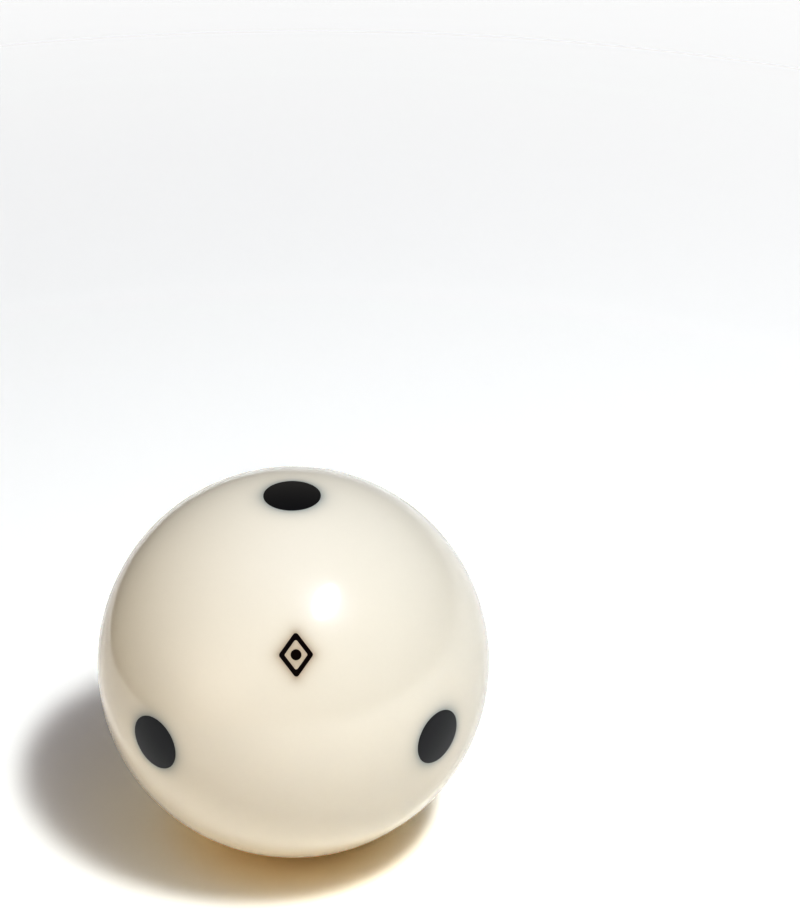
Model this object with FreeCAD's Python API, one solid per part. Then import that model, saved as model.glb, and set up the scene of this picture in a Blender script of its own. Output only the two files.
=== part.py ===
"""A spotted pool cue ball: a cast resin ball, six black sight spots and a small maker's mark.

Units are millimetres. The frame has its origin at the ball's centre, with +Z up through one
spot, +X through the right-hand spot and -Y through the front spot. The mark lies midway
between the +X, -Y and +Z spots.

The ball is cast in one piece of ivory resin. Each spot is a plug of black resin, cast into a
drilled pocket, so it has a straight wall, a coned inner end left by the drill's point, and
an outer end ground flush with the ball. The mark is cut into the skin as two shallow
grooves and filled the same way. Every filling touches its pocket all over, with no gap.
"""

import FreeCAD
import Part
import math
import os

# Driving dimensions
BALL_DIAMETER = 57.15  # the standard pool ball, 2 1/4 inches
SPOT_DIAMETER = 8.2
SPOT_WALL_DEPTH = 4.0  # from the chord plane of the spot's rim to the end of its straight wall
DRILL_POINT_ANGLE = 118.0  # included angle of the cone at a pocket's inner end, in degrees
MARK_WIDTH = 4.9  # across the lozenge's short diagonal
MARK_HEIGHT = 6.6  # along its long diagonal
MARK_STROKE = 0.64  # width of the lozenge's band
MARK_CORNER_RADIUS = 0.42  # on the band's outer corners
MARK_DOT_DIAMETER = 1.5
MARK_DEPTH = 0.9  # depth of the mark's grooves below the ball's surface

# Worked-out sizes
BALL_RADIUS = BALL_DIAMETER / 2
SPOT_RADIUS = SPOT_DIAMETER / 2
SPOT_RIM_HEIGHT = math.sqrt(BALL_RADIUS**2 - SPOT_RADIUS**2)  # chord plane's distance from the centre
SPOT_SHOULDER = SPOT_RIM_HEIGHT - SPOT_WALL_DEPTH  # where the cone begins
SPOT_TIP = SPOT_SHOULDER - SPOT_RADIUS / math.tan(math.radians(DRILL_POINT_ANGLE / 2))
TOOL_OVERRUN = 2.0  # how far a cutting tool stands out of the ball

# Directions
CENTRE = FreeCAD.Vector(0, 0, 0)
UP = FreeCAD.Vector(0, 0, 1)
SPOT_DIRECTIONS = {
    "spot_top": FreeCAD.Vector(0, 0, 1),
    "spot_bottom": FreeCAD.Vector(0, 0, -1),
    "spot_front": FreeCAD.Vector(0, -1, 0),
    "spot_back": FreeCAD.Vector(0, 1, 0),
    "spot_right": FreeCAD.Vector(1, 0, 0),
    "spot_left": FreeCAD.Vector(-1, 0, 0),
}
MARK_NORMAL = FreeCAD.Vector(1, -1, 1).normalize()
MARK_UP = (UP - MARK_NORMAL * UP.dot(MARK_NORMAL)).normalize()
MARK_SIDE = MARK_UP.cross(MARK_NORMAL)


def ball():
    """The whole ball, before anything is cut from it."""
    return Part.makeSphere(BALL_RADIUS)


def spot_tool():
    """The drill's shape along +Z: a cylinder that stands out of the ball, with a coned inner end."""
    cylinder = Part.makeCylinder(
        SPOT_RADIUS,
        BALL_RADIUS + TOOL_OVERRUN - SPOT_SHOULDER,
        FreeCAD.Vector(0, 0, SPOT_SHOULDER),
    )
    cone = Part.makeCone(0, SPOT_RADIUS, SPOT_SHOULDER - SPOT_TIP, FreeCAD.Vector(0, 0, SPOT_TIP))
    return cylinder.fuse(cone)


def pointed_along(shape, direction):
    """A copy of a +Z shape, turned about the ball's centre to point in a direction."""
    turned = shape.copy()
    turned.Placement = FreeCAD.Placement(CENTRE, FreeCAD.Rotation(UP, direction))
    return turned


def mark_point(across, along, height):
    """A point given in the mark's own axes: across and along its plane, and out from the centre."""
    return MARK_SIDE * across + MARK_UP * along + MARK_NORMAL * height


def lozenge_wire(half_width, half_height, corner_radius, height):
    """A lozenge outline in the mark's plane, its four corners rounded by tangent arcs."""
    corners = [(half_width, 0), (0, half_height), (-half_width, 0), (0, -half_height)]
    points = [mark_point(across, along, height) for across, along in corners]
    arcs = []
    for i, corner in enumerate(points):
        before = (points[i - 1] - corner).normalize()
        after = (points[(i + 1) % len(points)] - corner).normalize()
        half_angle = before.getAngle(after) / 2
        run = corner_radius / math.tan(half_angle)
        bisector = (before + after).normalize()
        middle = corner + bisector * (corner_radius / math.sin(half_angle) - corner_radius)
        arcs.append((corner + before * run, middle, corner + after * run))
    edges = []
    for i, (start, middle, end) in enumerate(arcs):
        edges.append(Part.Arc(start, middle, end).toShape())
        edges.append(Part.LineSegment(end, arcs[(i + 1) % len(arcs)][0]).toShape())
    return Part.Wire(edges)


def mark_prism(wire):
    """A wire of the mark, run outwards until it stands out of the ball."""
    return Part.Face(wire).extrude(MARK_NORMAL * (MARK_DEPTH + 2 * TOOL_OVERRUN))


def mark_band_tool():
    """The lozenge band's cutter: the outer lozenge less the inner one, side for side parallel."""
    base = BALL_RADIUS - MARK_DEPTH - TOOL_OVERRUN
    half_width = MARK_WIDTH / 2
    half_height = MARK_HEIGHT / 2
    side_distance = half_width * half_height / math.hypot(half_width, half_height)
    inner_share = 1 - MARK_STROKE / side_distance
    inner_corner = MARK_CORNER_RADIUS * inner_share
    outer = lozenge_wire(half_width, half_height, MARK_CORNER_RADIUS, base)
    inner = lozenge_wire(half_width * inner_share, half_height * inner_share, inner_corner, base)
    return mark_prism(outer).cut(mark_prism(inner))


def mark_dot_tool():
    """The round cutter of the dot at the lozenge's centre."""
    base = mark_point(0, 0, BALL_RADIUS - MARK_DEPTH - TOOL_OVERRUN)
    height = MARK_DEPTH + 2 * TOOL_OVERRUN
    return Part.makeCylinder(MARK_DOT_DIAMETER / 2, height, base, MARK_NORMAL)


def groove(tool):
    """The part of a mark's cutter that lies outside the groove's floor, a sphere under the skin."""
    return tool.cut(Part.makeSphere(BALL_RADIUS - MARK_DEPTH))


def filling(tool):
    """What fills a cut: the tool's shape, ground flush with the ball."""
    return tool.common(ball())


def build():
    """All the pieces, by node name."""
    drill = spot_tool()
    tools = {name: pointed_along(drill, way) for name, way in SPOT_DIRECTIONS.items()}
    tools["mark_band"] = groove(mark_band_tool())
    tools["mark_dot"] = groove(mark_dot_tool())
    pieces = {name: filling(tool) for name, tool in tools.items()}
    pieces["ball_body"] = ball().cut(list(tools.values()))
    return pieces


def main():
    """Writes one STEP for each piece and prints its volume."""
    os.makedirs("parts", exist_ok=True)
    pieces = build()
    for name, shape in sorted(pieces.items()):
        solids = shape.Solids
        if len(solids) != 1 or not solids[0].isValid():
            raise SystemExit(f"{name} is not one valid solid")
        solids[0].exportStep(f"parts/{name}.step")
        print(f"{name}: {solids[0].Volume:.2f} mm3")
    total = sum(shape.Volume for shape in pieces.values())
    print(f"all pieces {total:.2f} mm3, whole ball {ball().Volume:.2f} mm3")


main()
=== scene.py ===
"""The looks of a spotted pool cue ball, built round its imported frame.

The ball is one casting of ivory resin. Six plugs of black resin sit in drilled pockets at the
ends of its three axes, and a small lozenge mark lies midway between three of them, filled and
polished flush like the plugs. Lengths are in metres, in the frame's axes, with the ball's
centre at the origin.
"""

import logging
import math
from dataclasses import dataclass, field
from enum import Enum
from typing import Union

import bmesh
import bpy
from bmesh.types import BMEdge, BMesh, BMVert
from mathutils import Matrix, Quaternion, Vector


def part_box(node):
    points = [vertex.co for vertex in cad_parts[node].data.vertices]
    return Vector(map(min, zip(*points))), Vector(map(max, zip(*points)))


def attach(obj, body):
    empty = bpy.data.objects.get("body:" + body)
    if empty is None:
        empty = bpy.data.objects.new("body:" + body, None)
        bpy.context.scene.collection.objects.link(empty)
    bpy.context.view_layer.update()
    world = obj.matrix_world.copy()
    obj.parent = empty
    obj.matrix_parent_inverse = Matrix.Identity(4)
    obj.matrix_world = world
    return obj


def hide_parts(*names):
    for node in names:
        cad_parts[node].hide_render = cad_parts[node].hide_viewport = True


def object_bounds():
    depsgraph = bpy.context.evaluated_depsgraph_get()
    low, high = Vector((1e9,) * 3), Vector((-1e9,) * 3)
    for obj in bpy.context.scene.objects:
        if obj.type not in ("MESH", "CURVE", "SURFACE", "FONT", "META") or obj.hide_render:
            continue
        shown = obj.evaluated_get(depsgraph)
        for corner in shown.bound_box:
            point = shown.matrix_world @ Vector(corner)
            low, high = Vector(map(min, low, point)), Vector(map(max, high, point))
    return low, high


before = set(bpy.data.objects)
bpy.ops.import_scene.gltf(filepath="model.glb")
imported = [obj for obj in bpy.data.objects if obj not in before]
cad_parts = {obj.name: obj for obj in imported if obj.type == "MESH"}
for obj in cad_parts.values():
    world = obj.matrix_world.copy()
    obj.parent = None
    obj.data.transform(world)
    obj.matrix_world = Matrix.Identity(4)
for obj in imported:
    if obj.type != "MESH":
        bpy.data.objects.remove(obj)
cad_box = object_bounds()

log = logging.getLogger("cue_ball")

MM = 0.001
ROOT_BODY = "root"
UP = Vector((0.0, 0.0, 1.0))
MERGE_DISTANCE = 1e-7
SKIN_SLACK = 1e-6

Colour = tuple[float, float, float]
Socket = bpy.types.NodeSocket
Source = Union[Socket, float, Colour, Vector]

WHITE: Colour = (1.0, 1.0, 1.0)
ACROSS_AND_ALONG: Colour = (1.0, 1.0, 0.0)


# ---------------------------------------------------------------------------------------
# Sizes
# ---------------------------------------------------------------------------------------


class Sight(Enum):
    """The six sight spots, each with the direction that it faces."""

    TOP = (0, 0, 1)
    BOTTOM = (0, 0, -1)
    FRONT = (0, -1, 0)
    BACK = (0, 1, 0)
    RIGHT = (1, 0, 0)
    LEFT = (-1, 0, 0)

    @property
    def label(self) -> str:
        """The spot's name in lower case."""
        return self.name.lower()

    @property
    def node(self) -> str:
        """The name of the frame's node for this spot's plug."""
        return f"spot_{self.label}"

    @property
    def direction(self) -> Vector:
        """The unit direction from the ball's centre to the spot."""
        return Vector(self.value)


@dataclass(frozen=True)
class SpotSize:
    """The size of one sight spot's plug and of the drilled pocket that holds it."""

    ball_radius: float
    radius: float
    tip: float
    drill_angle: float = math.radians(118)
    segments: int = 96
    dome_steps: int = 8

    @property
    def rim_height(self) -> float:
        """How far the chord plane of the spot's rim is from the ball's centre."""
        return math.sqrt(self.ball_radius**2 - self.radius**2)

    @property
    def shoulder(self) -> float:
        """How far the end of the straight wall is from the ball's centre."""
        return self.tip + self.radius / math.tan(self.drill_angle / 2)


@dataclass(frozen=True)
class MarkSize:
    """The size of the lozenge mark, its band, its dot and their shallow grooves."""

    ball_radius: float
    width: float = 4.9 * MM
    height: float = 6.6 * MM
    stroke: float = 0.64 * MM
    corner_radius: float = 0.42 * MM
    dot_radius: float = 0.75 * MM
    depth: float = 0.9 * MM
    surround_radius: float = 4.4 * MM
    corner_steps: int = 6
    side_cuts: int = 9

    @property
    def normal(self) -> Vector:
        """The direction from the ball's centre to the mark, midway between three spots."""
        return Vector((1, -1, 1)).normalized()

    @property
    def axes(self) -> Matrix:
        """Works out how the mark is turned.

        Returns:
            The turn that takes X across the mark, Y up along it and Z out of the ball.
        """
        out = self.normal
        along = (UP - out * UP.dot(out)).normalized()
        across = along.cross(out)
        return Matrix((across, along, out)).transposed()

    @property
    def side_distance(self) -> float:
        """How far the outer lozenge's straight sides are from the mark's centre."""
        half_width, half_height = self.width / 2, self.height / 2
        return half_width * half_height / math.hypot(half_width, half_height)

    @property
    def inner_share(self) -> float:
        """The inner lozenge's size as a share of the outer one's."""
        return 1 - self.stroke / self.side_distance


def read_sizes() -> tuple[SpotSize, MarkSize]:
    """Works out the ball's sizes from the frame.

    Returns:
        The sight spots' size and the mark's size.
    """
    low, high = cad_box
    ball_radius = (high.x - low.x) / 2
    spot_low, spot_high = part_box(Sight.TOP.node)
    spot = SpotSize(ball_radius, radius=(spot_high.x - spot_low.x) / 2, tip=spot_low.z)
    return spot, MarkSize(ball_radius)


# ---------------------------------------------------------------------------------------
# Mesh helpers
# ---------------------------------------------------------------------------------------


def turned_to(direction: Vector) -> Matrix:
    """The turn that takes +Z to a direction."""
    return UP.rotation_difference(direction).to_matrix()


def boundary_edges(mesh: BMesh) -> list[BMEdge]:
    """The edges with one face, where a mesh is open."""
    return [edge for edge in mesh.edges if edge.is_boundary]


def close_up(mesh: BMesh) -> None:
    """Merges doubled vertices and turns every face of a closed mesh outwards.

    Args:
        mesh: The mesh to finish, which has no openings once its doubles are merged.
    """
    bmesh.ops.remove_doubles(mesh, verts=mesh.verts[:], dist=MERGE_DISTANCE)
    bmesh.ops.recalc_face_normals(mesh, faces=mesh.faces[:])


def take_in(mesh: BMesh, part: BMesh) -> None:
    """Adds one mesh to another.

    Args:
        mesh: The mesh that grows.
        part: The mesh that it takes in, which is freed.
    """
    data = bpy.data.meshes.new("part")
    part.to_mesh(data)
    part.free()
    mesh.from_mesh(data)
    bpy.data.meshes.remove(data)


def put_on_sphere(vertices: list[BMVert], radius: float) -> None:
    """Moves vertices straight along Z until they lie on a sphere about the origin.

    Args:
        vertices: The vertices to move, which lie nearer the Z axis than the radius.
        radius: The sphere's radius.
    """
    for vertex in vertices:
        flat = vertex.co.xy.length_squared
        vertex.co.z = math.sqrt(radius**2 - flat)


def polish_normals(mesh: bpy.types.Mesh, ball_radius: float) -> None:
    """Gives the faces of the ball's skin the exact normals of the ground sphere.

    Args:
        mesh: The piece's mesh.
        ball_radius: The radius of the sphere that the skin lies on.
    """
    normals = [Vector()] * len(mesh.loops)
    for face in mesh.polygons:
        corners = [mesh.vertices[i].co for i in face.vertices]
        is_skin = all(abs(corner.length - ball_radius) < SKIN_SLACK for corner in corners)
        face.use_smooth = is_skin
        for loop, corner in zip(face.loop_indices, corners):
            normals[loop] = corner.normalized() if is_skin else face.normal.copy()
    mesh.normals_split_custom_set(normals)


def make_piece(
    name: str,
    mesh: BMesh,
    material: bpy.types.Material,
    node: str,
    ball_radius: float,
) -> bpy.types.Object:
    """Turns a finished mesh into a piece that stands for a node of the frame.

    Args:
        name: The piece's name.
        mesh: Its mesh, in place in the frame. It is freed.
        material: Its finish.
        node: The node that it replaces.
        ball_radius: The radius of the ball's skin.

    Returns:
        The piece.
    """
    data = bpy.data.meshes.new(name)
    mesh.to_mesh(data)
    mesh.free()
    polish_normals(data, ball_radius)
    data.materials.append(material)
    piece = bpy.data.objects.new(name, data)
    bpy.context.scene.collection.objects.link(piece)
    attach(piece, ROOT_BODY)
    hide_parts(node)
    log.info("%s: %d faces, for %s", name, len(data.polygons), node)
    return piece


# ---------------------------------------------------------------------------------------
# Shader helpers and shared effects
# ---------------------------------------------------------------------------------------


class NodeBoard:
    """A node tree with short ways to add and link its nodes."""

    def __init__(self, tree: bpy.types.NodeTree) -> None:
        """Takes a tree and empties it."""
        self.tree = tree
        self.tree.nodes.clear()

    def add(self, kind: str, **settings: object) -> bpy.types.Node:
        """Adds a node.

        Args:
            kind: The node's type name.
            settings: Its properties, by name.

        Returns:
            The node.
        """
        node = self.tree.nodes.new(kind)
        for key, value in settings.items():
            setattr(node, key, value)
        return node

    def feed(self, socket: Socket, source: Source) -> None:
        """Links another socket to an input, or sets its value.

        Args:
            socket: The input.
            source: An output socket, a number, or the numbers of a vector or colour.
        """
        if isinstance(source, Socket):
            self.tree.links.new(source, socket)
        elif isinstance(source, (int, float)):
            socket.default_value = source
        else:
            values = tuple(source)
            size = len(socket.default_value)
            opaque = 1.0
            socket.default_value = values if len(values) == size else (*values, opaque)

    def chain(self, kind: str, operation: str, sources: tuple[Source, ...]) -> bpy.types.Node:
        """Adds a node that works on its first few inputs in order.

        Args:
            kind: The node's type name.
            operation: What it does.
            sources: What its inputs get.

        Returns:
            The node.
        """
        node = self.add(kind, operation=operation)
        for socket, source in zip(node.inputs, sources):
            self.feed(socket, source)
        return node

    def math(self, operation: str, *sources: Source) -> Socket:
        """The result of a Math node on one, two or three values."""
        return self.chain("ShaderNodeMath", operation, sources).outputs[0]

    def vector_math(self, operation: str, *sources: Source) -> Socket:
        """The vector that a Vector Math node gives."""
        return self.chain("ShaderNodeVectorMath", operation, sources).outputs["Vector"]

    def measure(self, operation: str, *sources: Source) -> Socket:
        """The number that a Vector Math node gives, such as a length or a dot product."""
        return self.chain("ShaderNodeVectorMath", operation, sources).outputs["Value"]

    def scaled(self, vector: Source, factor: Source) -> Socket:
        """Scales a vector or colour.

        Args:
            vector: The vector or colour.
            factor: The number that it is multiplied by.

        Returns:
            The scaled vector.
        """
        node = self.add("ShaderNodeVectorMath", operation="SCALE")
        self.feed(node.inputs["Vector"], vector)
        self.feed(node.inputs["Scale"], factor)
        return node.outputs["Vector"]

    def join(self, *parts: Source) -> Socket:
        """Joins numbers into a vector.

        Args:
            parts: Up to three numbers, for X, Y and Z.

        Returns:
            The vector.
        """
        node = self.add("ShaderNodeCombineXYZ")
        for socket, part in zip(node.inputs, parts):
            self.feed(socket, part)
        return node.outputs[0]

    def ramp(self, value: Source, low: float, high: float) -> Socket:
        """Makes a smooth step from 0 to 1.

        Args:
            value: What the step follows.
            low: The value where it is 0.
            high: The value where it is 1. It may be below the other.

        Returns:
            The step.
        """
        node = self.add("ShaderNodeMapRange", interpolation_type="SMOOTHSTEP")
        self.feed(node.inputs["Value"], value)
        self.feed(node.inputs["From Min"], low)
        self.feed(node.inputs["From Max"], high)
        return node.outputs["Result"]

    def mix(self, share: Source, first: Source, second: Source, blend: str = "MIX") -> Socket:
        """Mixes two colours.

        Args:
            share: How much of the second colour, from 0 to 1.
            first: The first colour.
            second: The second colour.
            blend: The blend type.

        Returns:
            The mixed colour.
        """
        node = self.add("ShaderNodeMix", data_type="RGBA", blend_type=blend)
        first_colour, second_colour = [item for item in node.inputs if item.type == "RGBA"]
        result = next(item for item in node.outputs if item.type == "RGBA")
        self.feed(node.inputs["Factor"], share)
        self.feed(first_colour, first)
        self.feed(second_colour, second)
        return result

    def noise(self, vector: Source, scale: float, detail: float) -> Socket:
        """Adds a Noise Texture.

        Args:
            vector: Where it is read.
            scale: How fine it is.
            detail: How many finer layers it has.

        Returns:
            Its value, from 0 to 1.
        """
        node = self.add("ShaderNodeTexNoise", noise_dimensions="3D")
        self.feed(node.inputs["Vector"], vector)
        self.feed(node.inputs["Scale"], scale)
        self.feed(node.inputs["Detail"], detail)
        return node.outputs["Fac"]

    def use(self, group: bpy.types.NodeTree, **values: Source) -> bpy.types.Node:
        """Places a node group.

        Args:
            group: The group.
            values: Its inputs, by name with underscores for spaces.

        Returns:
            The group's node.
        """
        node = self.add("ShaderNodeGroup", node_tree=group)
        for key, value in values.items():
            self.feed(node.inputs[key.replace("_", " ")], value)
        return node


class Effect:
    """A shader node group, built once and used by several finishes."""

    title = "effect"
    inputs: dict[str, str] = {}
    outputs: dict[str, str] = {}
    _made: dict[str, bpy.types.NodeTree] = {}

    @classmethod
    def group(cls) -> bpy.types.NodeTree:
        """Gives the group's tree, and makes it the first time.

        Returns:
            The tree.
        """
        if cls.title not in Effect._made:
            tree = bpy.data.node_groups.new(cls.title, "ShaderNodeTree")
            for name, kind in cls.inputs.items():
                tree.interface.new_socket(name, in_out="INPUT", socket_type=kind)
            for name, kind in cls.outputs.items():
                tree.interface.new_socket(name, in_out="OUTPUT", socket_type=kind)
            board = NodeBoard(tree)
            start = board.add("NodeGroupInput")
            end = board.add("NodeGroupOutput")
            cls.build(board, start.outputs, end.inputs)
            Effect._made[cls.title] = tree
        return Effect._made[cls.title]

    @classmethod
    def build(cls, board: NodeBoard, given: bpy.types.NodeOutputs, result: bpy.types.NodeInputs) -> None:
        """Makes the group's nodes. Each effect has its own."""
        raise NotImplementedError

    @staticmethod
    def fade(board: NodeBoard, distance: Socket, reach: Socket) -> Socket:
        """Falls exponentially from 1 with distance.

        Args:
            board: The group's board.
            distance: The distance. It counts as none where it is negative.
            reach: The distance over which the fall is to 1/e.

        Returns:
            The faded value.
        """
        beyond = board.math("MAXIMUM", distance, 0.0)
        reaches = board.math("DIVIDE", beyond, reach)
        return board.math("EXPONENT", board.math("MULTIPLY", reaches, -1.0))


class PaintedSpotShade(Effect):
    """Painted shade: how much a sight spot darkens the resin round it, falling off with distance from
    its rim, where the black plug swallows light inside the translucent resin.
    """

    title = "sight_bleed"
    inputs = {
        "Vector": "NodeSocketVector",
        "Spot Radius": "NodeSocketFloat",
        "Reach": "NodeSocketFloat",
    }
    outputs = {"Bleed": "NodeSocketFloat"}

    @classmethod
    def build(cls, board: NodeBoard, given: bpy.types.NodeOutputs, result: bpy.types.NodeInputs) -> None:
        """Measures how far the place is from the nearest of the three axes, and fades the painted shade
        from the rim.

        Args:
            board: The group's board.
            given: The group's inputs.
            result: The group's outputs.
        """
        place = given["Vector"]
        split = board.add("ShaderNodeSeparateXYZ")
        board.feed(split.inputs[0], board.vector_math("ABSOLUTE", place))
        along_axis = board.math("MAXIMUM", split.outputs[0], split.outputs[1])
        along_axis = board.math("MAXIMUM", along_axis, split.outputs[2])
        square = board.measure("DOT_PRODUCT", place, place)
        square = board.math("SUBTRACT", square, board.math("MULTIPLY", along_axis, along_axis))
        from_axis = board.math("SQRT", board.math("MAXIMUM", square, 0.0))
        beyond = board.math("SUBTRACT", from_axis, given["Spot Radius"])
        # The painted shade, full at the spot's rim and fading away from it.
        board.feed(result["Bleed"], cls.fade(board, beyond, given["Reach"]))


class PaintedMarkShade(Effect):
    """Painted shade: how much the mark's band and dot darken the resin by them, where their filling
    swallows light inside the translucent resin. The vector is in the mark's axes.
    """

    title = "painted_mark_shade"
    inputs = {
        "Vector": "NodeSocketVector",
        "Corner": "NodeSocketVector",
        "Half Stroke": "NodeSocketFloat",
        "Dot Radius": "NodeSocketFloat",
        "Reach": "NodeSocketFloat",
    }
    outputs = {"Bleed": "NodeSocketFloat"}

    @staticmethod
    def from_lozenge(board: NodeBoard, place: Socket, corner: Socket) -> Socket:
        """Measures how far a place is from the lozenge's outline.

        Args:
            board: The group's board.
            place: The place across and along the mark, mirrored to the first quarter.
            corner: The lozenge's half width and half height.

        Returns:
            The distance from the nearest point of the side in the first quarter.
        """
        mirrored = board.vector_math("MULTIPLY", corner, (1.0, -1.0, 0.0))
        offset = board.vector_math("SUBTRACT", corner, board.scaled(place, 2.0))
        behind = board.measure("DOT_PRODUCT", offset, mirrored)
        side_square = board.measure("DOT_PRODUCT", corner, corner)
        along = board.math("MAXIMUM", board.math("DIVIDE", behind, side_square), -1.0)
        along = board.math("MINIMUM", along, 1.0)
        lean = board.join(board.math("SUBTRACT", 1.0, along), board.math("ADD", 1.0, along))
        nearest = board.scaled(board.vector_math("MULTIPLY", corner, lean), 0.5)
        return board.measure("DISTANCE", place, nearest)

    @classmethod
    def build(cls, board: NodeBoard, given: bpy.types.NodeOutputs, result: bpy.types.NodeInputs) -> None:
        """Joins the band's painted shade and the dot's, on the mark's side of the ball only.

        Args:
            board: The group's board.
            given: The group's inputs.
            result: The group's outputs.
        """
        flat = board.vector_math("MULTIPLY", given["Vector"], ACROSS_AND_ALONG)
        place = board.vector_math("ABSOLUTE", flat)
        from_line = cls.from_lozenge(board, place, given["Corner"])
        from_middle = board.measure("LENGTH", flat)
        from_band = board.math("SUBTRACT", from_line, given["Half Stroke"])
        from_dot = board.math("SUBTRACT", from_middle, given["Dot Radius"])
        clear_of_band = board.math("SUBTRACT", 1.0, cls.fade(board, from_band, given["Reach"]))
        clear_of_dot = board.math("SUBTRACT", 1.0, cls.fade(board, from_dot, given["Reach"]))
        clear = board.math("MULTIPLY", clear_of_band, clear_of_dot)
        outwards = board.measure("DOT_PRODUCT", given["Vector"], UP)
        facing = board.math("GREATER_THAN", outwards, 0.0)
        # The painted shade, on the mark's side of the ball only.
        board.feed(result["Bleed"], board.math("MULTIPLY", board.math("SUBTRACT", 1.0, clear), facing))


class ResinCloud(Effect):
    """The faint cloudiness of cast resin: broad drifts of tone and fine filler grain."""

    title = "resin_cloud"
    inputs = {"Vector": "NodeSocketVector", "Drift": "NodeSocketFloat", "Grain": "NodeSocketFloat"}
    outputs = {"Tone": "NodeSocketFloat"}
    drift_scale = 55.0
    drift_detail = 3.0
    grain_scale = 2600.0
    grain_detail = 1.0
    noise_middle = 0.5

    @classmethod
    def build(cls, board: NodeBoard, given: bpy.types.NodeOutputs, result: bpy.types.NodeInputs) -> None:
        """Adds two noises about a middle value of 1.

        Args:
            board: The group's board.
            given: The group's inputs.
            result: The group's outputs.
        """
        drift = board.noise(given["Vector"], cls.drift_scale, cls.drift_detail)
        drift = board.math("SUBTRACT", drift, cls.noise_middle)
        drift = board.math("MULTIPLY", drift, given["Drift"])
        grain = board.noise(given["Vector"], cls.grain_scale, cls.grain_detail)
        grain = board.math("SUBTRACT", grain, cls.noise_middle)
        grain = board.math("MULTIPLY", grain, given["Grain"])
        board.feed(result["Tone"], board.math("ADD", board.math("ADD", drift, grain), 1.0))


class PolishedSkin(Effect):
    """The last traces of grinding and polishing: haze that varies, hairlines and a faint ripple."""

    title = "polished_skin"
    inputs = {
        "Vector": "NodeSocketVector",
        "Roughness": "NodeSocketFloat",
        "Haze": "NodeSocketFloat",
        "Hairlines": "NodeSocketFloat",
    }
    outputs = {"Roughness": "NodeSocketFloat", "Height": "NodeSocketFloat"}
    haze_scale = 120.0
    haze_detail = 4.0
    haze_from, haze_full = 0.35, 0.75
    hairline_scale = 210.0
    hairline_width = 0.006
    break_scale = 240.0
    break_detail = 2.0
    break_from, break_full = 0.5, 0.7
    ripple_scale = 330.0
    ripple_detail = 1.0

    @classmethod
    def build(cls, board: NodeBoard, given: bpy.types.NodeOutputs, result: bpy.types.NodeInputs) -> None:
        """Raises the roughness by patches of haze and along thin, broken hairlines.

        Args:
            board: The group's board.
            given: The group's inputs.
            result: The group's outputs.
        """
        place = given["Vector"]
        haze = board.noise(place, cls.haze_scale, cls.haze_detail)
        haze = board.ramp(haze, cls.haze_from, cls.haze_full)
        cells = board.add("ShaderNodeTexVoronoi", feature="DISTANCE_TO_EDGE")
        board.feed(cells.inputs["Vector"], place)
        board.feed(cells.inputs["Scale"], cls.hairline_scale)
        line = board.ramp(cells.outputs["Distance"], 0.0, cls.hairline_width)
        line = board.math("SUBTRACT", 1.0, line)
        whole = board.noise(place, cls.break_scale, cls.break_detail)
        whole = board.ramp(whole, cls.break_from, cls.break_full)
        hairline = board.math("MULTIPLY", line, whole)
        from_haze = board.math("MULTIPLY", haze, given["Haze"])
        from_hairline = board.math("MULTIPLY", hairline, given["Hairlines"])
        rise = board.math("ADD", from_haze, from_hairline)
        board.feed(result["Roughness"], board.math("ADD", given["Roughness"], rise))
        board.feed(result["Height"], board.noise(place, cls.ripple_scale, cls.ripple_detail))


# ---------------------------------------------------------------------------------------
# Finishes
# ---------------------------------------------------------------------------------------


@dataclass(frozen=True)
class Polish:
    """How well a resin is polished."""

    roughness: float = 0.06
    haze: float = 0.012
    hairlines: float = 0.03
    ripple: float = 0.00012 * MM

    def dress(self, board: NodeBoard, shader: bpy.types.Node, place: Socket) -> None:
        """Feeds a resin's roughness and normal from the polished skin effect.

        Args:
            board: The material's board.
            shader: Its Principled BSDF.
            place: Its Object coordinates.
        """
        skin = board.use(
            PolishedSkin.group(),
            Vector=place,
            Roughness=self.roughness,
            Haze=self.haze,
            Hairlines=self.hairlines,
        )
        board.feed(shader.inputs["Roughness"], skin.outputs["Roughness"])
        bump = board.add("ShaderNodeBump")
        board.feed(bump.inputs["Height"], skin.outputs["Height"])
        board.feed(bump.inputs["Strength"], 1.0)
        board.feed(bump.inputs["Distance"], self.ripple)
        board.feed(shader.inputs["Normal"], bump.outputs["Normal"])


@dataclass(frozen=True)
class Resin:
    """A cast resin, clouded by its filler and polished."""

    name: str
    colour: Colour
    drift: float
    grain: float
    ior: float
    polish: Polish = Polish()

    def build(self) -> bpy.types.Material:
        """Makes the material.

        Returns:
            The material.
        """
        material = bpy.data.materials.new(self.name)
        material.use_nodes = True
        board = NodeBoard(material.node_tree)
        output = board.add("ShaderNodeOutputMaterial")
        shader = board.add("ShaderNodeBsdfPrincipled")
        board.feed(output.inputs["Surface"], shader.outputs["BSDF"])
        place = board.add("ShaderNodeTexCoord").outputs["Object"]
        cloud = board.use(ResinCloud.group(), Vector=place, Drift=self.drift, Grain=self.grain)
        tone = board.scaled(self.colour, cloud.outputs["Tone"])
        board.feed(shader.inputs["Base Color"], self.shaded(board, place, tone))
        shader.inputs["IOR"].default_value = self.ior
        self.polish.dress(board, shader, place)
        return material

    def shaded(self, board: NodeBoard, place: Socket, tone: Socket) -> Socket:
        """The resin's colour beside its inlays, which on a plain resin is its own."""
        return tone


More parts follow.
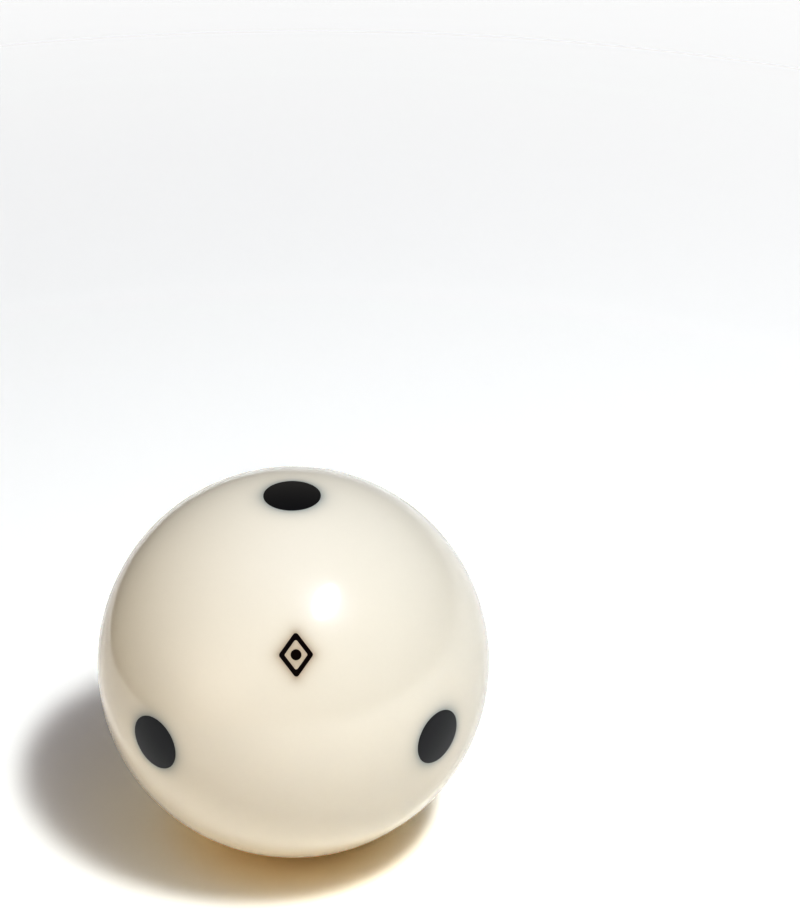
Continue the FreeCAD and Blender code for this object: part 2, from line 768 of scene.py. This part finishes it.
@dataclass(frozen=True)
class IvoryResin(Resin):
    """Cast ivory resin, a little translucent, so that each inlay casts a soft shade into it, which is
    painted into its colour.
    """

    name: str = "ivory_resin"
    colour: Colour = (0.90, 0.83, 0.68)
    drift: float = 0.03
    grain: float = 0.012
    ior: float = 1.55
    # How far the painted shade by the spots and by the mark reaches, and its colour.
    spot_reach: float = 0.85 * MM
    spot_shade: Colour = (0.50, 0.545, 0.58)
    mark_reach: float = 0.7 * MM
    mark_painted_shade_colour: Colour = (0.63, 0.57, 0.5)
    spot: SpotSize = field(kw_only=True)
    mark: MarkSize = field(kw_only=True)

    def shaded(self, board: NodeBoard, place: Socket, tone: Socket) -> Socket:
        """Paints shade into the resin's colour beside the spots and the mark.

        Args:
            board: The material's board.
            place: Its Object coordinates.
            tone: The resin's own colour.

        Returns:
            The colour with its painted shade.
        """
        spots = board.use(
            PaintedSpotShade.group(),
            Vector=place,
            Spot_Radius=self.spot.radius,
            Reach=self.spot_reach,
        )
        turn = board.add("ShaderNodeMapping", vector_type="TEXTURE")
        board.feed(turn.inputs["Vector"], place)
        turn.inputs["Rotation"].default_value = self.mark.axes.to_euler("XYZ")
        middle_share = (1 + self.mark.inner_share) / 2
        lozenge = board.use(
            PaintedMarkShade.group(),
            Vector=turn.outputs[0],
            Corner=(self.mark.width / 2 * middle_share, self.mark.height / 2 * middle_share, 0.0),
            Half_Stroke=self.mark.stroke / 2,
            Dot_Radius=self.mark.dot_radius,
            Reach=self.mark_reach,
        )
        # Painted shade: the colour darkens beside each inlay, where the translucent resin would be
        # shaded by it.
        for inlay, shade in ((spots, self.spot_shade), (lozenge, self.mark_painted_shade_colour)):
            beside = board.mix(inlay.outputs["Bleed"], WHITE, shade)
            tone = board.mix(1.0, tone, beside, "MULTIPLY")
        return tone


@dataclass(frozen=True)
class BlackResin(Resin):
    """Cast black resin for the sight spots' plugs."""

    name: str = "black_resin"
    colour: Colour = (0.004, 0.004, 0.006)
    drift: float = 0.5
    grain: float = 0.6
    ior: float = 1.42


@dataclass(frozen=True)
class MarkResin(Resin):
    """The brown-black resin that fills the mark's grooves."""

    name: str = "mark_resin"
    colour: Colour = (0.006, 0.002, 0.0015)
    drift: float = 0.4
    grain: float = 0.6
    ior: float = 1.5
    polish: Polish = Polish(roughness=0.05, haze=0.03)


# ---------------------------------------------------------------------------------------
# The ball
# ---------------------------------------------------------------------------------------


@dataclass
class SightSpot:
    """One black plug and the drilled pocket that holds it."""

    sight: Sight
    size: SpotSize

    def revolve(self, mesh: BMesh) -> None:
        """Turns a profile all the way round the Z axis.

        Args:
            mesh: The profile, as loose edges in the XZ plane.
        """
        bmesh.ops.spin(
            mesh,
            geom=mesh.verts[:] + mesh.edges[:],
            cent=(0, 0, 0),
            axis=UP,
            angle=math.tau,
            steps=self.size.segments,
            use_merge=True,
        )
        bmesh.ops.remove_doubles(mesh, verts=mesh.verts[:], dist=MERGE_DISTANCE)

    def draw_bore(self, mesh: BMesh, rim: BMVert) -> None:
        """Draws the profile of the straight wall and the coned end.

        Args:
            mesh: The mesh to draw in.
            rim: The vertex on the rim that the wall starts from.
        """
        shoulder = bmesh.ops.extrude_vert_indiv(mesh, verts=[rim])["verts"][0]
        shoulder.co.z = self.size.shoulder
        tip = bmesh.ops.extrude_vert_indiv(mesh, verts=[shoulder])["verts"][0]
        tip.co = (0, 0, self.size.tip)

    def face_outwards(self, mesh: BMesh) -> None:
        """Turns a mesh made along +Z to the spot's own direction."""
        turn = turned_to(self.sight.direction)
        bmesh.ops.rotate(mesh, verts=mesh.verts[:], cent=(0, 0, 0), matrix=turn)

    def plug(self) -> BMesh:
        """Makes the plug, with a dome flush with the ball, a straight wall and a coned inner end.

        Returns:
            The plug, in place.
        """
        mesh = bmesh.new()
        pole = mesh.verts.new((0, 0, self.size.ball_radius))
        arc = bmesh.ops.spin(
            mesh,
            geom=[pole],
            cent=(0, 0, 0),
            axis=(0, 1, 0),
            angle=math.asin(self.size.radius / self.size.ball_radius),
            steps=self.size.dome_steps,
        )
        rim = next(item for item in arc["geom_last"] if isinstance(item, BMVert))
        self.draw_bore(mesh, rim)
        self.revolve(mesh)
        self.face_outwards(mesh)
        close_up(mesh)
        return mesh

    def pocket(self) -> BMesh:
        """Makes the pocket's wall and coned end.

        Returns:
            The pocket, in place, open at the rim.
        """
        mesh = bmesh.new()
        rim = mesh.verts.new((self.size.radius, 0, self.size.rim_height))
        self.draw_bore(mesh, rim)
        self.revolve(mesh)
        self.face_outwards(mesh)
        return mesh


class Region(Enum):
    """The parts of the mark's patch of skin, each with the rows of faces across it."""

    SURROUND = 6
    BAND = 2
    FIELD = 3
    DOT = 1


@dataclass
class LozengeMark:
    """The lozenge mark: a band and a dot, filled flush, on a patch of the ball's skin."""

    size: MarkSize

    def draw_lozenge(self, mesh: BMesh, share: float) -> None:
        """Draws a flat lozenge with rounded corners, in millimetres.

        Args:
            mesh: The mesh to draw in.
            share: Its size as a share of the mark's own.
        """
        half_width = self.size.width / 2 * share / MM
        half_height = self.size.height / 2 * share / MM
        radius = self.size.corner_radius * share / MM
        corners = [Vector((half_width, 0, 0)), Vector((0, half_height, 0))]
        corners += [-corner for corner in corners]
        ends: list[BMVert] = []
        for i, corner in enumerate(corners):
            before = (corners[i - 1] - corner).normalized()
            after = (corners[(i + 1) % len(corners)] - corner).normalized()
            half_angle = before.angle(after) / 2
            first = mesh.verts.new(corner + before * radius / math.tan(half_angle))
            arc = bmesh.ops.spin(
                mesh,
                geom=[first],
                cent=corner + (before + after).normalized() * radius / math.sin(half_angle),
                axis=UP,
                angle=math.pi - 2 * half_angle,
                steps=self.size.corner_steps,
            )
            ends += [first, *arc["geom_last"]]
        starts = ends[1::2]
        stops = ends[2::2] + ends[:1]
        sides = [mesh.edges.new(pair) for pair in zip(starts, stops)]
        bmesh.ops.subdivide_edges(mesh, edges=sides, cuts=self.size.side_cuts)

    def draw_circle(self, mesh: BMesh, radius: float, filled: bool = False) -> None:
        """Draws a flat circle with as many edges as a lozenge has, in millimetres.

        Args:
            mesh: The mesh to draw in.
            radius: The circle's radius, in metres.
            filled: Whether it gets a face.
        """
        quarter = self.size.corner_steps + self.size.side_cuts + 1
        bmesh.ops.create_circle(mesh, cap_ends=filled, segments=4 * quarter, radius=radius / MM)

    def skin(self, region: Region) -> BMesh:
        """Makes one region of the patch's skin, in the mark's own axes.

        It is drawn in millimetres, because bridging mistakes the direction of tinier loops.

        Args:
            region: The region.

        Returns:
            Its skin, in metres, on the ball's sphere.
        """
        mesh = bmesh.new()
        match region:
            case Region.SURROUND:
                self.draw_circle(mesh, self.size.surround_radius)
                self.draw_lozenge(mesh, 1.0)
            case Region.BAND:
                self.draw_lozenge(mesh, 1.0)
                self.draw_lozenge(mesh, self.size.inner_share)
            case Region.FIELD:
                self.draw_lozenge(mesh, self.size.inner_share)
                self.draw_circle(mesh, self.size.dot_radius)
            case Region.DOT:
                self.draw_circle(mesh, self.size.dot_radius, filled=True)
                bmesh.ops.poke(mesh, faces=mesh.faces[:])
        if region is not Region.DOT:
            bmesh.ops.bridge_loops(mesh, edges=mesh.edges[:])
            across = [edge for edge in mesh.edges if not edge.is_boundary]
            bmesh.ops.subdivide_edges(mesh, edges=across, cuts=region.value - 1)
        bmesh.ops.scale(mesh, verts=mesh.verts[:], vec=(MM, MM, MM))
        put_on_sphere(mesh.verts[:], self.size.ball_radius)
        return mesh

    def sink(self, mesh: BMesh, keep: bool) -> None:
        """Runs a region of the skin down to its groove's floor.

        Args:
            mesh: The region's skin.
            keep: Whether its faces on the skin stay, as the top of a filling.
        """
        top = mesh.faces[:]
        made = bmesh.ops.extrude_face_region(mesh, geom=top, use_keep_orig=keep)["geom"]
        floor = [item for item in made if isinstance(item, BMVert)]
        put_on_sphere(floor, self.size.ball_radius - self.size.depth)
        if not keep:
            bmesh.ops.delete(mesh, geom=[face for face in top if face.is_valid], context="FACES")

    def in_place(self, mesh: BMesh) -> None:
        """Turns a mesh from the mark's axes to its place on the ball."""
        bmesh.ops.rotate(mesh, verts=mesh.verts[:], cent=(0, 0, 0), matrix=self.size.axes)

    def grooved_patch(self) -> BMesh:
        """Makes the patch of the ball's skin with its two grooves.

        Returns:
            The patch, in place, open at its rim.
        """
        mesh = self.skin(Region.SURROUND)
        take_in(mesh, self.skin(Region.FIELD))
        for region in (Region.BAND, Region.DOT):
            groove = self.skin(region)
            self.sink(groove, keep=False)
            take_in(mesh, groove)
        bmesh.ops.remove_doubles(mesh, verts=mesh.verts[:], dist=MERGE_DISTANCE)
        self.in_place(mesh)
        return mesh

    def filling(self, region: Region) -> BMesh:
        """Makes what fills one groove, ground flush with the ball.

        Args:
            region: The region of the skin that the groove is under.

        Returns:
            The filling, in place.
        """
        mesh = self.skin(region)
        self.sink(mesh, keep=True)
        self.in_place(mesh)
        close_up(mesh)
        return mesh


@dataclass
class BallBody:
    """The ivory casting: a ground sphere with its drilled pockets and the mark's grooves."""

    spot: SpotSize
    mark: MarkSize
    grid_cuts: int = 63
    opening_margin: float = 0.5 * MM
    shortest_edge: float = 0.02 * MM

    def blank(self) -> BMesh:
        """Makes the ball before anything is cut, as a cube's grid wrapped evenly on the sphere.

        Returns:
            The ball.
        """
        mesh = bmesh.new()
        cube_width = 2.0
        bmesh.ops.create_cube(mesh, size=cube_width)
        bmesh.ops.subdivide_edges(mesh, edges=mesh.edges[:], cuts=self.grid_cuts, use_grid_fill=True)
        for vertex in mesh.verts:
            evened = Vector(math.tan(part * math.pi / 4) for part in vertex.co)
            vertex.co = evened.normalized() * self.spot.ball_radius
        return mesh

    def open_skin(self, mesh: BMesh, direction: Vector, radius: float) -> None:
        """Cuts a round opening in the skin.

        Args:
            mesh: The ball.
            direction: The direction of the opening's middle.
            radius: Its radius.
        """
        centre = direction * math.sqrt(self.spot.ball_radius**2 - radius**2)
        bmesh.ops.bisect_plane(
            mesh,
            geom=mesh.verts[:] + mesh.edges[:] + mesh.faces[:],
            dist=self.shortest_edge,
            plane_co=centre,
            plane_no=direction,
            clear_outer=True,
        )
        for vertex in {vertex for edge in boundary_edges(mesh) for vertex in edge.verts}:
            from_centre = vertex.co - centre
            from_centre -= direction * from_centre.dot(direction)
            vertex.co = centre + from_centre.normalized() * radius

    def fit(self, mesh: BMesh, part: BMesh) -> None:
        """Joins a pocket or patch to the rim of the one opening in the skin.

        Args:
            mesh: The ball.
            part: The pocket or patch, open at its own rim. It is freed.
        """
        take_in(mesh, part)
        bmesh.ops.bridge_loops(mesh, edges=boundary_edges(mesh))

    def build(self) -> BMesh:
        """Makes the finished casting.

        Returns:
            The casting.
        """
        mesh = self.blank()
        for sight in Sight:
            self.open_skin(mesh, sight.direction, self.spot.radius + self.opening_margin)
            self.fit(mesh, SightSpot(sight, self.spot).pocket())
        self.open_skin(mesh, self.mark.normal, self.mark.surround_radius + self.opening_margin)
        self.fit(mesh, LozengeMark(self.mark).grooved_patch())
        close_up(mesh)
        return mesh


class CueBall:
    """The whole ball: its casting, its six sight spots and its mark."""

    def __init__(self) -> None:
        """Reads the ball's sizes from the frame."""
        self.spot, self.mark = read_sizes()

    def build(self) -> None:
        """Makes every piece and dresses it."""
        radius = self.spot.ball_radius
        ivory = IvoryResin(spot=self.spot, mark=self.mark).build()
        black = BlackResin().build()
        brown = MarkResin().build()
        body = BallBody(self.spot, self.mark).build()
        make_piece("ivory_casting", body, ivory, "ball_body", radius)
        for sight in Sight:
            plug = SightSpot(sight, self.spot).plug()
            make_piece(f"sight_{sight.label}", plug, black, sight.node, radius)
        lozenge = LozengeMark(self.mark)
        make_piece("lozenge_band", lozenge.filling(Region.BAND), brown, "mark_band", radius)
        make_piece("lozenge_dot", lozenge.filling(Region.DOT), brown, "mark_dot", radius)


# ---------------------------------------------------------------------------------------
# The studio
# ---------------------------------------------------------------------------------------


def direction_of(azimuth: float, elevation: float) -> Vector:
    """A unit direction. Azimuth 0 is -Y and 90 is +X, in degrees."""
    turn, rise = math.radians(azimuth), math.radians(elevation)
    return Vector((math.sin(turn) * math.cos(rise), -math.cos(turn) * math.cos(rise), math.sin(rise)))


@dataclass(frozen=True)
class Glow:
    """A broad soft brightness of the room, round one direction."""

    azimuth: float
    elevation: float
    colour: Colour
    tightness: float = 8.0

    def shine(self, board: NodeBoard, direction: Socket) -> Socket:
        """Works out the glow's light.

        Args:
            board: The room's board.
            direction: The direction that the light comes from.

        Returns:
            The light, which falls off away from the glow's own direction.
        """
        facing = board.measure("DOT_PRODUCT", direction, direction_of(self.azimuth, self.elevation))
        turned_away = board.math("SUBTRACT", facing, 1.0)
        share = board.math("EXPONENT", board.math("MULTIPLY", turned_away, self.tightness))
        return board.scaled(self.colour, share)


@dataclass
class Sheet:
    """The white sheet under the ball, which ends to the ball's left. Lengths are in ball radii."""

    ball_radius: float
    half_width: float = 60.0
    edge_distance: float = 3.9
    edge_azimuth: float = -55.0
    seen_colour: Colour = (1.19, 1.16, 1.06)
    bounce_colour: Colour = (0.97, 0.92, 0.83)
    # The painted warm glow round the ball's foot, for light that the ball lets through, and where it is
    # full and where it ends.
    painted_glow: Colour = (1.12, 0.92, 0.62)
    painted_glow_full: float = 0.25
    painted_glow_end: float = 0.85
    fade_start: float = 3.5
    fade_end: float = 13.0

    def build(self) -> None:
        """Lays the sheet at the ball's foot."""
        mesh = bmesh.new()
        half = self.half_width * self.ball_radius
        bmesh.ops.create_grid(mesh, x_segments=1, y_segments=1, size=half)
        bmesh.ops.translate(mesh, verts=mesh.verts[:], vec=(0, 0, -self.ball_radius))
        out = direction_of(self.edge_azimuth, 0)
        bmesh.ops.bisect_plane(
            mesh,
            geom=mesh.verts[:] + mesh.edges[:] + mesh.faces[:],
            plane_co=out * self.edge_distance * self.ball_radius,
            plane_no=out,
            clear_outer=True,
        )
        data = bpy.data.meshes.new("white_sheet")
        mesh.to_mesh(data)
        mesh.free()
        data.materials.append(self.paper())
        sheet = bpy.data.objects.new("white_sheet", data)
        bpy.context.scene.collection.objects.link(sheet)

    def paper(self) -> bpy.types.Material:
        """Makes the sheet's white.

        It carries a painted warm glow by the ball's foot, standing in for light that the ball lets
        through. The camera sees it fade out far away, and sees through it from underneath.

        Returns:
            The material.
        """
        material = bpy.data.materials.new("white_sheet")
        material.use_nodes = True
        board = NodeBoard(material.node_tree)
        output = board.add("ShaderNodeOutputMaterial")
        path = board.add("ShaderNodeLightPath").outputs
        place = board.add("ShaderNodeTexCoord").outputs["Object"]
        flat = board.vector_math("MULTIPLY", place, ACROSS_AND_ALONG)
        from_foot = board.scaled(flat, 1 / self.ball_radius)
        from_foot = board.measure("LENGTH", from_foot)
        tone = board.mix(path["Is Diffuse Ray"], self.seen_colour, self.bounce_colour)
        # Paints the warm glow round the ball's foot, standing in for light let through the resin.
        near = board.ramp(from_foot, self.painted_glow_end, self.painted_glow_full)
        painted_glow = board.mix(near, WHITE, self.painted_glow)
        white = board.add("ShaderNodeBsdfDiffuse")
        board.feed(white.inputs["Color"], board.mix(1.0, tone, painted_glow, "MULTIPLY"))
        underneath = board.add("ShaderNodeNewGeometry").outputs["Backfacing"]
        far = board.ramp(from_foot, self.fade_start, self.fade_end)
        clear = board.math("MAXIMUM", underneath, far)
        sheet = board.add("ShaderNodeMixShader")
        board.feed(sheet.inputs[0], board.math("MULTIPLY", clear, path["Is Camera Ray"]))
        board.feed(sheet.inputs[1], white.outputs[0])
        board.feed(sheet.inputs[2], board.add("ShaderNodeBsdfTransparent").outputs[0])
        board.feed(output.inputs["Surface"], sheet.outputs[0])
        return material


@dataclass
class SoftBox:
    """The one lamp, a soft box up to the right. Lengths are in ball radii."""

    ball_radius: float
    azimuth: float = 85.7
    elevation: float = 62.6
    distance: float = 25.0
    width: float = 10.0
    length: float = 19.0
    edge_fall: float = 5.0
    turn: float = 122.0
    watts: float = 89.0
    colour: Colour = (0.725, 0.765, 0.82)

    def build(self) -> None:
        """Hangs the soft box, facing the ball and turned about its own axis."""
        data = bpy.data.lights.new("soft_box", "AREA")
        data.shape = "RECTANGLE"
        data.size = self.width * self.ball_radius
        data.size_y = self.length * self.ball_radius
        data.energy = self.watts
        data.color = self.colour
        self.shade(data)
        lamp = bpy.data.objects.new("soft_box", data)
        bpy.context.scene.collection.objects.link(lamp)
        away = direction_of(self.azimuth, self.elevation)
        lamp.location = away * self.distance * self.ball_radius
        aim = away.to_track_quat("Z", "Y")
        lamp.rotation_mode = "QUATERNION"
        lamp.rotation_quaternion = aim @ Quaternion(UP, math.radians(self.turn))
        lamp.visible_camera = False

    def shade(self, data: bpy.types.AreaLight) -> None:
        """Makes the box bright in its middle and fading to its edges.

        Args:
            data: The lamp's data.
        """
        data.use_nodes = True
        board = NodeBoard(data.node_tree)
        place = board.add("ShaderNodeNewGeometry").outputs["Parametric"]
        middle, to_edge = (0.5, 0.5, 0.0), 0.5
        flat = board.vector_math("MULTIPLY", place, ACROSS_AND_ALONG)
        from_middle = board.measure("DISTANCE", flat, middle)
        fading = board.math("POWER", board.ramp(from_middle, to_edge, 0.0), self.edge_fall)
        emission = board.add("ShaderNodeEmission")
        board.feed(emission.inputs["Strength"], fading)
        board.feed(board.add("ShaderNodeOutputLight").inputs["Surface"], emission.outputs[0])


@dataclass
class Room:
    """The dim room, as five glows. The camera sees it as plain white."""

    box_haze: Glow = Glow(85, 62, (3.6, 3.8, 4.6), tightness=50)
    ceiling: Glow = Glow(0, 90, (0.05, 0.1, 0.3))
    window: Glow = Glow(0, 8, (1.55, 1.4, 1.25))
    left_wall: Glow = Glow(-70, 12, (0.35, 0.32, 0.25), tightness=4)
    back_wall: Glow = Glow(-145, 22, (0.38, 0.36, 0.33), tightness=4)

    def build(self) -> None:
        """Makes the world."""
        world = bpy.data.worlds.new("studio")
        bpy.context.scene.world = world
        world.use_nodes = True
        board = NodeBoard(world.node_tree)
        output = board.add("ShaderNodeOutputWorld")
        direction = board.add("ShaderNodeTexCoord").outputs["Generated"]
        light: Source = Vector()
        for glow in (self.box_haze, self.ceiling, self.window, self.left_wall, self.back_wall):
            light = board.vector_math("ADD", light, glow.shine(board, direction))
        room = board.add("ShaderNodeBackground")
        board.feed(room.inputs["Color"], light)
        backdrop = board.add("ShaderNodeBackground")
        board.feed(backdrop.inputs["Color"], WHITE)
        mix = board.add("ShaderNodeMixShader")
        board.feed(mix.inputs[0], board.add("ShaderNodeLightPath").outputs["Is Camera Ray"])
        board.feed(mix.inputs[1], room.outputs[0])
        board.feed(mix.inputs[2], backdrop.outputs[0])
        board.feed(output.inputs["Surface"], mix.outputs[0])


@dataclass
class Viewpoint:
    """The camera, down on the ball from the front right, and how it shows brightness."""

    ball_radius: float
    azimuth: float = 44.16
    elevation: float = 33.36
    distance: float = 20.03
    look_azimuth: float = 42.32
    look_elevation: float = 30.38
    roll: float = 0.39
    lens_mm: float = 153.6
    nearest: float = 0.01
    farthest: float = 20.0
    gamma: float = 0.75

    def build(self) -> None:
        """Places the camera, at a distance in ball radii."""
        data = bpy.data.cameras.new("camera")
        data.lens = self.lens_mm
        data.clip_start = self.nearest
        data.clip_end = self.farthest
        camera = bpy.data.objects.new("camera", data)
        bpy.context.scene.collection.objects.link(camera)
        away = direction_of(self.azimuth, self.elevation)
        camera.location = away * self.distance * self.ball_radius
        back = direction_of(self.look_azimuth, self.look_elevation)
        level = back.to_track_quat("Z", "Y")
        camera.rotation_mode = "QUATERNION"
        camera.rotation_quaternion = level @ Quaternion(UP, math.radians(self.roll))
        bpy.context.scene.camera = camera
        view = bpy.context.scene.view_settings
        view.view_transform = "Standard"
        view.look = "None"
        view.gamma = self.gamma


@dataclass
class Studio:
    """Everything round the ball: its sheet, its soft box, its room and its camera."""

    ball_radius: float

    def build(self) -> None:
        """Makes the whole studio."""
        Sheet(self.ball_radius).build()
        SoftBox(self.ball_radius).build()
        Room().build()
        Viewpoint(self.ball_radius).build()


def main() -> None:
    """Builds the ball and its studio."""
    logging.basicConfig(level=logging.INFO, format="%(name)s: %(message)s")
    ball = CueBall()
    ball.build()
    Studio(ball.spot.ball_radius).build()


if __name__ == "__main__":
    main()
